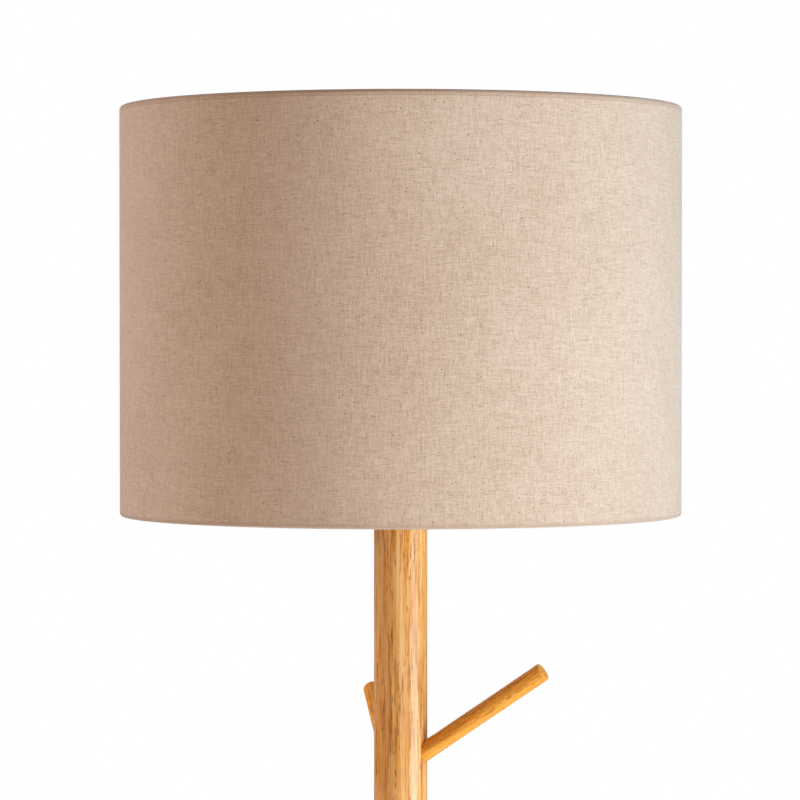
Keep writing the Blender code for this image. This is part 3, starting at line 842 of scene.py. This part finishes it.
wire_finish = moulded_finish(
    "powder_coat", (0.80, 0.79, 0.76), (0.68, 0.66, 0.61), 0.42, blotch=0.006, amount=0.3, grain=0.0007,
    bump=0.00004
)
low, high = far_corners("shade_top_wire")
wire_centre_r = (high.x - low.x) / 2 - WIRE_R
top_wire_z = (low.z + high.z) / 2
piece("top_hoop", hoop(wire_centre_r, top_wire_z), wire_finish, "lamp", ["shade_top_wire"])
low, high = far_corners("shade_carrier")
bottom_wire_z = low.z + WIRE_R
fitter_low = high.z - FITTER_H
carrier = piece(
    "carrier_frame", hoop(wire_centre_r, bottom_wire_z), wire_finish, "lamp", ["shade_carrier"]
)
arm_lines = []
for azimuth in ARM_AZIMUTHS:
    turn = math.radians(azimuth)
    out = Vector((math.sin(turn), math.cos(turn), 0))
    start = out * wire_centre_r + Vector((0, 0, bottom_wire_z))
    end = out * (FITTER_R - WIRE_R) + Vector((0, 0, fitter_low + FITTER_H / 2))
    arm_lines.append((start, end - start))
welds = []
shapes = [(tube(FITTER_BORE_R, FITTER_R, fitter_low, high.z), Matrix.Identity(4), 96)]
for start, run in arm_lines:
    shapes.append((tube(0, WIRE_R, 0, run.length), pointed(start, run), 24))
for number, (outline, place, sides) in enumerate(shapes):
    weld = hollowed(carrier, f"weld_{number}", rounded(outline, FITTER_EDGE, 2), place, sides)
    carrier.modifiers[-1].operation = "UNION"
    welds.append(weld)
applied(carrier, welds)


# Clamp rings
# Two moulded rings with ribbed edges, screwed on the skirt above and below the fitter. The upper
# one comes off by hand to free the shade.

RIBS = 40
RIB_DEPTH = 0.0006
RIBBED_FROM_R = 0.0255
RING_GAP = 0.0006
RING_EDGE = 0.0009


def ribbed(radius, height, angle):
    """Finger ribs round the outer edge of a ring."""
    if radius < RIBBED_FROM_R:
        return radius
    return radius - RIB_DEPTH * (0.5 - 0.5 * math.cos(RIBS * angle)) ** 0.5


for name in ("clamp_ring_lower", "clamp_ring_upper"):
    low, high = far_corners(name)
    ring_r = (high.x - low.x) / 2
    outline = rounded(tube(holder_r + RING_GAP, ring_r, low.z, high.z), RING_EDGE)
    piece(f"ribbed_{name}", turned(outline, 320, ribbed), gland_finish, "lamp", [name])


# Shade liner
# A sheet of off-white styrene rolled into a drum and laminated to the back of the linen. It has a
# faint satin roll grain.

LINER = 0.0004
liner_finish = moulded_finish(
    "styrene_sheet", (0.80, 0.775, 0.72), (0.72, 0.69, 0.62), 0.52, blotch=0.05, amount=0.5, grain=0.0009,
    bump=0.00003
)
low, high = far_corners("shade_liner")
liner_r = (high.x - low.x) / 2
outline = fine_side(liner_r, low.z, high.z, 8) + fine_side(liner_r - LINER, low.z, high.z, 8)[::-1]
piece("styrene_liner", turned(outline, 256), liner_finish, "lamp", ["shade_liner"])


# Shade cover
# A strip of oatmeal linen and cotton in plain weave, glued round the drum with a lap seam at the
# back. Its two long edges are rolled over the wires and glued down inside.

SHADE_R = 0.210
FABRIC = 0.0008
HEM_DEPTH = 0.0165
HEM_STEP = 0.0035
HEM_STEPS = 4
WRAP_STEPS = 12
WRAP_START = 28
SKIN_DROPS = (0.0015, 0.0030, 0.0042, 0.0055, 0.0070, 0.0085, 0.0110)
SKIN_ROWS = 14
LAP = 0.012
LAP_EASE = 0.030
LAP_LIFT = FABRIC + 0.0002
COLUMNS = 300
THREAD = 0.00086
HEM_DIMPLE = 0.00008
DIMPLE_DROP = 0.0042
DIMPLE_WIDTH = 0.0018
# The band of painted shade at each rim, its strength, and the width of the painted shadow line under the top
# roll.
HEM_ROLL = 0.0040
HEM_PAINTED_SHADE = 0.60
SHADOW_LINE_WIDTH = 0.0008
NOTCH_GAP = 0.0009
NOTCH_RUN = 0.012


def hem_path(edge, inward, lift):
    """The linen's path from its glued edge, round the wire, to the outer skin.

    inward is 1 at the bottom and -1 at the top; lift moves the cloth off the layer under it.
    """
    wrap = WIRE_R + CONTACT_GAP + FABRIC / 2
    centre = (SHADE_R - FABRIC / 2 - wrap, edge + inward * (wrap + FABRIC / 2))
    wrap += lift
    glued_r = SHADE_R - 1.5 * FABRIC - LINER - 2 * CONTACT_GAP - lift
    path = [(glued_r, edge + inward * (HEM_DEPTH - HEM_STEP * i)) for i in range(HEM_STEPS)]
    start = math.radians(180 - WRAP_START * inward)
    end = math.radians(180 + 180 * inward)
    for i in range(WRAP_STEPS + 1):
        angle = start + (end - start) * i / WRAP_STEPS
        path.append((centre[0] + wrap * math.cos(angle), centre[1] + wrap * math.sin(angle)))
    for drop in SKIN_DROPS:
        pull = HEM_DIMPLE * math.exp(-((drop - DIMPLE_DROP) / DIMPLE_WIDTH) ** 2)
        path.append((centre[0] + wrap - pull, centre[1] + inward * drop))
    return path


def cloth_section(lift):
    """The linen's whole path, from the top's glued edge down the outside to the bottom's."""
    top = hem_path(shade_high.z, -1, lift)
    bottom = hem_path(shade_low.z, 1, lift)
    between = []
    for i in range(1, SKIN_ROWS):
        between.append((top[-1][0], top[-1][1] + (bottom[-1][1] - top[-1][1]) * i / SKIN_ROWS))
    return top + between + bottom[::-1]


def cloth_strip():
    """The strip as a closed sheet of even thickness, with its weave laid out in metres as UVs."""
    bm = bmesh.new()
    layout = bm.loops.layers.uv.new("weave")
    length = math.tau * SHADE_R
    columns = []
    for column in range(COLUMNS + 1):
        share = column / COLUMNS
        run = share * (length + LAP)
        past = run - (length - LAP_EASE)
        lift = LAP_LIFT * max(0.0, min(1.0, past / LAP_EASE))
        angle = math.pi / 2 + (run - LAP / 2) / SHADE_R
        path = cloth_section(lift)
        sides = ([], [])
        travelled = 0.0
        for i, point in enumerate(path):
            before = Vector(path[max(i - 1, 0)])
            after = Vector(path[min(i + 1, len(path) - 1)])
            way = (after - before).normalized()
            travelled += (Vector(point) - before).length
            for side, half in zip(sides, (FABRIC / 2, -FABRIC / 2)):
                radius, height = point[0] - way.y * half, point[1] + way.x * half
                place = (radius * math.cos(angle), radius * math.sin(angle), height)
                side.append((bm.verts.new(place), (run, travelled)))
        columns.append(sides[0] + sides[1][::-1])
    for column, after in zip(columns, columns[1:]):
        for i in range(len(column)):
            j = (i + 1) % len(column)
            corners = (column[i], column[j], after[j], after[i])
            face = bm.faces.new([vertex for vertex, _ in corners])
            for loop, (_, place) in zip(face.loops, corners):
                loop[layout].uv = place
    half = len(columns[0]) // 2
    for end in (columns[0], columns[-1]):
        for i in range(half - 1):
            corners = (end[i], end[i + 1], end[-2 - i], end[-1 - i])
            face = bm.faces.new([vertex for vertex, _ in corners])
            for loop, (_, place) in zip(face.loops, corners):
                loop[layout].uv = place
    bmesh.ops.recalc_face_normals(bm, faces=bm.faces)
    return bm


def build_linen_weave():
    """Plain weave: crossing threads of uneven thickness and tone, slubs, a few dark flecks, and painted shade
    in the gaps between threads.
    """
    tree, given, put = new_group(
        "linen_weave",
        [
            ("Place", "NodeSocketVector", (0, 0, 0)),
            ("Thread", "NodeSocketFloat", THREAD),
            ("Cloth", "NodeSocketColor", (0.6, 0.5, 0.4, 1)),
            ("Pale Thread", "NodeSocketColor", (0.75, 0.65, 0.55, 1)),
            ("Dark Thread", "NodeSocketColor", (0.4, 0.3, 0.22, 1)),
            ("Fleck", "NodeSocketColor", (0.15, 0.09, 0.05, 1)),
            ("Contrast", "NodeSocketFloat", 0.5),
        ],
        [("Color", "NodeSocketColor"), ("Height", "NodeSocketFloat")],
    )
    split = node(tree, "ShaderNodeSeparateXYZ", {0: given["Place"]}).outputs
    across = maths(tree, "DIVIDE", split["X"], given["Thread"])
    up = maths(tree, "DIVIDE", split["Y"], given["Thread"])

    def point(x, y, z):
        return node(tree, "ShaderNodeCombineXYZ", {"X": x, "Y": y, "Z": z}).outputs[0]

    def noise(x, y, z, detail=1.0):
        sockets = {"Vector": point(x, y, z), "Scale": 1.0, "Detail": detail}
        return node(tree, "ShaderNodeTexNoise", sockets).outputs[0]

    def scaled(value, factor):
        return maths(tree, "MULTIPLY", value, factor)

    sway_x = noise(scaled(across, 0.11), scaled(up, 0.045), 1.7, 2.0)
    sway_y = noise(scaled(across, 0.045), scaled(up, 0.11), 8.3, 2.0)
    across = maths(tree, "MULTIPLY_ADD", sway_x, 2.2, across)
    up = maths(tree, "MULTIPLY_ADD", sway_y, 2.2, up)
    warp = maths(tree, "FLOOR", across)
    weft = maths(tree, "FLOOR", up)
    warp_tone = noise(scaled(warp, 5.37), scaled(up, 0.085), 3.1, 3.0)
    weft_tone = noise(scaled(across, 0.085), scaled(weft, 5.37), 6.9, 3.0)

    def arch(value):
        """A thread's round back, from 0 at its edges to 1 along its middle."""
        off = maths(tree, "SUBTRACT", maths(tree, "FRACT", value), 0.5)
        return maths(tree, "MULTIPLY_ADD", maths(tree, "MULTIPLY", off, off), -4.0, 1.0)

    warp_arch = arch(across)
    weft_arch = arch(up)
    over = maths(tree, "MODULO", maths(tree, "ABSOLUTE", maths(tree, "ADD", warp, weft)), 2.0)
    under = maths(tree, "SUBTRACT", 1.0, over)
    warp_top = maths(tree, "MULTIPLY", warp_arch, maths(tree, "MULTIPLY_ADD", weft_arch, 0.45, 0.55))
    weft_top = maths(tree, "MULTIPLY", weft_arch, maths(tree, "MULTIPLY_ADD", warp_arch, 0.45, 0.55))

    def on_top(of_warp, of_weft):
        """The value of whichever thread lies on top."""
        warp_share = maths(tree, "MULTIPLY", of_warp, over)
        return maths(tree, "ADD", warp_share, maths(tree, "MULTIPLY", of_weft, under))

    height = on_top(warp_top, weft_top)
    tone = on_top(warp_tone, weft_tone)
    broad = noise(scaled(across, 0.012), scaled(up, 0.012), 4.4, 3.0)
    tone = maths(tree, "MULTIPLY_ADD", maths(tree, "SUBTRACT", broad, 0.5), 0.20, tone)
    grain = noise(scaled(across, 0.75), scaled(up, 0.75), 5.5, 2.0)
    tone = maths(tree, "MULTIPLY_ADD", maths(tree, "SUBTRACT", grain, 0.5), 0.32, tone)
    pale = maths(tree, "MULTIPLY", stretched(tree, tone, 0.50, 0.70), given["Contrast"])
    dark = maths(tree, "MULTIPLY", stretched(tree, tone, 0.50, 0.28), given["Contrast"])
    colour = mixed(tree, pale, given["Cloth"], given["Pale Thread"])
    colour = mixed(tree, dark, colour, given["Dark Thread"])
    # Painted shade: the cloth is painted darker where the threads dip, in the gaps between them.
    gap_shade = stretched(tree, height, 0.0, 0.55, 0.55, 0.0)
    colour = mixed(tree, maths(tree, "MULTIPLY", gap_shade, given["Contrast"]), colour, given["Dark Thread"])
    seeds_up = noise(scaled(across, 0.80), scaled(up, 0.48), 2.2, 1.0)
    seeds_along = noise(scaled(across, 0.48), scaled(up, 0.80), 7.7, 1.0)
    seeds = [stretched(tree, field, 0.71, 0.77) for field in (seeds_up, seeds_along)]
    seeds = maths(tree, "MAXIMUM", *seeds)
    colour = mixed(tree, maths(tree, "MULTIPLY", seeds, 0.85), colour, given["Fleck"])
    tree.links.new(colour, put["Color"])
    tree.links.new(maths(tree, "MULTIPLY_ADD", tone, 0.6, height), put["Height"])
    return tree


linen_weave = build_linen_weave()
linen_finish, tree, shader = new_finish("oatmeal_linen")
weave = node(tree, "ShaderNodeGroup", node_tree=linen_weave)
weave.inputs["Thread"].default_value = THREAD
weave.inputs["Cloth"].default_value = (0.650, 0.485, 0.360, 1)
weave.inputs["Pale Thread"].default_value = (0.800, 0.650, 0.525, 1)
weave.inputs["Dark Thread"].default_value = (0.430, 0.280, 0.180, 1)
weave.inputs["Fleck"].default_value = (0.130, 0.075, 0.045, 1)
weave.inputs["Contrast"].default_value = 0.72
tree.links.new(node(tree, "ShaderNodeUVMap", uv_map="weave").outputs["UV"], weave.inputs["Place"])
up = node(tree, "ShaderNodeSeparateXYZ", {0: node(tree, "ShaderNodeTexCoord").outputs["Object"]}).outputs["Z"]
from_top = maths(tree, "SUBTRACT", shade_high.z, up)
from_rim = maths(tree, "MINIMUM", from_top, maths(tree, "SUBTRACT", up, shade_low.z))
# Painted shade: the linen is painted darker in a band at both rims where it rolls over the wires, and a thin
# darker line under the top roll is a painted shadow.
roll = stretched(tree, from_rim, HEM_ROLL, HEM_ROLL / 2, 0.0, HEM_PAINTED_SHADE)
off_shadow_line = maths(tree, "ABSOLUTE", maths(tree, "SUBTRACT", from_top, HEM_ROLL))
painted_shadow_line = stretched(tree, off_shadow_line, SHADOW_LINE_WIDTH, SHADOW_LINE_WIDTH / 3, 0.0, HEM_PAINTED_SHADE)
glued = maths(tree, "MAXIMUM", roll, painted_shadow_line)
hem_shaded_colour = mixed(tree, glued, weave.outputs["Color"], weave.inputs["Dark Thread"].default_value)
tree.links.new(hem_shaded_colour, shader.inputs["Base Color"])
sockets = {"Height": weave.outputs["Height"], "Distance": 0.00022, "Strength": 0.7}
relief = node(tree, "ShaderNodeBump", sockets)
tree.links.new(relief.outputs["Normal"], shader.inputs["Normal"])
shader.inputs["Roughness"].default_value = 0.9
shader.inputs["Specular IOR Level"].default_value = 0.25
shader.inputs["Sheen Weight"].default_value = 0.40
shader.inputs["Sheen Roughness"].default_value = 0.55
shader.inputs["Sheen Tint"].default_value = (0.85, 0.90, 1.0, 1)

cover = piece("linen_cover", cloth_strip(), linen_finish, "lamp", ["shade_cover"], sharp=60)
notch = tube(0, WIRE_R + NOTCH_GAP, 0, NOTCH_RUN)
notches = [
    hollowed(cover, f"notch_drill_{i}", notch, pointed(*line), 24) for i, line in enumerate(arm_lines)
]
applied(cover, notches)


# Bulb
# A screw-in lamp: solder button and black glass insulator, a cap of thin nickel-coloured metal with
# a rolled thread, a white body that sheds heat, and an opal dome over the emitter plate.

BULB_R = 0.030
DOME_WALL = 0.0010
CAP_ROOT = 0.0011
CAP_FOOT = 0.0012
CAP_CHAMFER = 0.0020
CAP_PLAIN = 0.0010
CAP_COLLAR = 0.0030
CAP_FADE = 0.0018
NECK_R = 0.0138
NECK_H = 0.0150
NECK_CHAMFER = (0.0010, 0.0020)
HOUSING_STEPS = 10
HOUSING_EDGE = 0.0006
DOME_STEPS = 28

cap_finish = moulded_finish(
    "nickel_cap", (0.74, 0.72, 0.69), (0.56, 0.54, 0.50), 0.24, blotch=0.004, grain=0.0003, Metallic=1.0
)
dome_finish = moulded_finish(
    "opal_dome", (0.86, 0.86, 0.84), (0.80, 0.80, 0.77), 0.24, blotch=0.02, amount=0.3, grain=0.0008,
    bump=0.00001, Subsurface_Weight=0.25, Subsurface_Scale=0.003
)
refinish(cap_finish, "bulb_contact")
refinish(gland_finish, "bulb_insulator")
refinish(zinc_finish, "emitter_plate")
low, high = far_corners("bulb_cap")
cap_low, cap_high = low.z, high.z
cap_r = (high.x - low.x) / 2
side = fine_side(cap_r, cap_low + CAP_FOOT, cap_high, THREAD_ROWS)
outline = [(0, cap_low), (cap_r - CAP_CHAMFER, cap_low), *side, (0, cap_high)]


def cap_reach(radius, height, angle):
    """The cap's rolled thread, with a plain collar under the body."""
    if radius < cap_r - CREST_BAND:
        return radius
    cut = faded(height, cap_low + CAP_PLAIN, cap_high - CAP_COLLAR, CAP_FADE) * CAP_ROOT
    return radius - cut * (1 - thread_wave(height, angle, EDISON_PITCH))


piece("rolled_cap", turned(outline, 96, cap_reach), cap_finish, "bulb", ["bulb_cap"])
low, high = far_corners("bulb_body")
seam_r = (high.x - low.x) / 2
neck = low.z
belly = []
for step in range(HOUSING_STEPS + 1):
    t = step / HOUSING_STEPS
    swell = 0.65 * t * t * (3 - 2 * t) + 0.35 * t * t
    belly.append((NECK_R + (seam_r - NECK_R) * swell, neck + NECK_H + (high.z - neck - NECK_H) * t))
outline = [
    (0, neck),
    (NECK_R - NECK_CHAMFER[0], neck),
    (NECK_R, neck + NECK_CHAMFER[1]),
    *belly,
    (0, high.z),
]
piece(
    "bulb_housing", turned(rounded(outline, HOUSING_EDGE), 96), white_finish, "bulb", ["bulb_body"],
)
low, high = far_corners("bulb_dome")
centre_z = high.z - BULB_R
start = math.asin((low.z - centre_z) / BULB_R)


def dome_arc(radius):
    """A skin of the dome, from its seam up to just below the axis."""
    angles = [start + (math.pi / 2 - start) * i / DOME_STEPS for i in range(DOME_STEPS)]
    return [(radius * math.cos(a), centre_z + radius * math.sin(a)) for a in angles]


outer = dome_arc(BULB_R)
inner = dome_arc(BULB_R - DOME_WALL)
outline = [*outer, (0, high.z), (0, high.z - DOME_WALL), *inner[:0:-1], (seam_r - DOME_WALL, low.z)]
piece("diffuser_dome", turned(outline, 96), dome_finish, "bulb", ["bulb_dome"])


# Room
# A plain pale floor that fades into a white backdrop, under four softboxes: a cool key on the right,
# a weak warm fill in front, one for the left edge, and one behind that lights the back.

FLOOR_SIZE = 14.0
FLOOR_NEAR = 0.25
FLOOR_FAR = 1.10
CAMERA_ASIDE = -0.0005
CAMERA_AWAY = 2.7195
CAMERA_UP = shade_low.z + 0.1327
CAMERA_PITCH = math.radians(0.98)
CAMERA_LENS = 163.3

mesh = bpy.data.meshes.new("studio_floor")
bm = bmesh.new()
bmesh.ops.create_grid(bm, x_segments=1, y_segments=1, size=FLOOR_SIZE / 2)
bm.to_mesh(mesh)
bm.free()
floor = bpy.data.objects.new("studio_floor", mesh)
bpy.context.scene.collection.objects.link(floor)
floor_finish = moulded_finish(
    "floor_paint", (0.80, 0.80, 0.79), (0.77, 0.77, 0.76), 0.9, blotch=0.6, amount=0.5, grain=0.01,
    bump=0.0001
)
tree = floor_finish.node_tree
place = node(tree, "ShaderNodeTexCoord").outputs["Object"]
away = node(tree, "ShaderNodeVectorMath", {0: place}, operation="LENGTH").outputs["Value"]
fade = stretched(tree, away, FLOOR_NEAR, FLOOR_FAR)
fade = maths(tree, "MULTIPLY", fade, node(tree, "ShaderNodeLightPath").outputs["Is Camera Ray"])
sweep = node(tree, "ShaderNodeEmission", {"Color": (1, 1, 1, 1), "Strength": 1.0}).outputs[0]
painted = tree.nodes["Principled BSDF"].outputs[0]
blended = node(tree, "ShaderNodeMixShader", {0: fade, 1: painted, 2: sweep}).outputs[0]
underside = node(tree, "ShaderNodeNewGeometry").outputs["Backfacing"]
nothing = node(tree, "ShaderNodeBsdfTransparent").outputs[0]
one_sided = node(tree, "ShaderNodeMixShader", {0: underside, 1: blended, 2: nothing}).outputs[0]
tree.links.new(one_sided, tree.nodes["Material Output"].inputs["Surface"])
mesh.materials.append(floor_finish)


def softbox(name, azimuth, distance, height, aim, size, power, colour):
    """An area light at an azimuth measured from the camera's side towards the right."""
    light = bpy.data.lights.new(name, "AREA")
    light.shape = "RECTANGLE"
    light.size, light.size_y = size
    light.energy = power
    light.color = colour
    obj = bpy.data.objects.new(name, light)
    bpy.context.scene.collection.objects.link(obj)
    turn = math.radians(azimuth)
    obj.location = (distance * math.sin(turn), -distance * math.cos(turn), height)
    obj.rotation_euler = (Vector((0, 0, aim)) - obj.location).to_track_quat("-Z", "Y").to_euler()
    return obj


softbox("key", 61, 2.6, 0.60, 1.22, (1.3, 1.3), 86, (0.69, 0.87, 1.0))
softbox("front_fill", 4, 2.6, 0.75, 1.10, (1.0, 0.6), 14, (1.0, 0.82, 0.62))
left_light = softbox("left_edge", -112, 2.2, 1.90, 1.35, (1.2, 1.4), 31, (1.0, 0.90, 0.80))
left_light.visible_glossy = False
softbox("back_fill", 180, 3.0, 2.20, 0.90, (2.5, 2.0), 45, (1.0, 0.97, 0.93))

world = bpy.data.worlds.new("studio_air")
bpy.context.scene.world = world
world.use_nodes = True
air = world.node_tree
air.nodes.clear()
dim = node(air, "ShaderNodeBackground", {"Color": (1.0, 0.80, 0.74, 1), "Strength": 0.37})
bright = node(air, "ShaderNodeBackground", {"Color": (1, 1, 1, 1), "Strength": 1.0})
seen = node(air, "ShaderNodeLightPath").outputs["Is Camera Ray"]
blend = node(air, "ShaderNodeMixShader", {0: seen, 1: dim.outputs[0], 2: bright.outputs[0]})
air.links.new(blend.outputs[0], node(air, "ShaderNodeOutputWorld").inputs["Surface"])

lens = bpy.data.cameras.new("camera")
lens.lens = CAMERA_LENS
lens.sensor_width = 36.0
lens.clip_end = 60.0
camera = bpy.data.objects.new("camera", lens)
bpy.context.scene.collection.objects.link(camera)
camera.location = (CAMERA_ASIDE, -CAMERA_AWAY, CAMERA_UP)
camera.rotation_euler = (math.pi / 2 - CAMERA_PITCH, 0, 0)
bpy.context.scene.camera = camera
bpy.context.scene.view_settings.view_transform = "Standard"

bpy.context.view_layer.update()
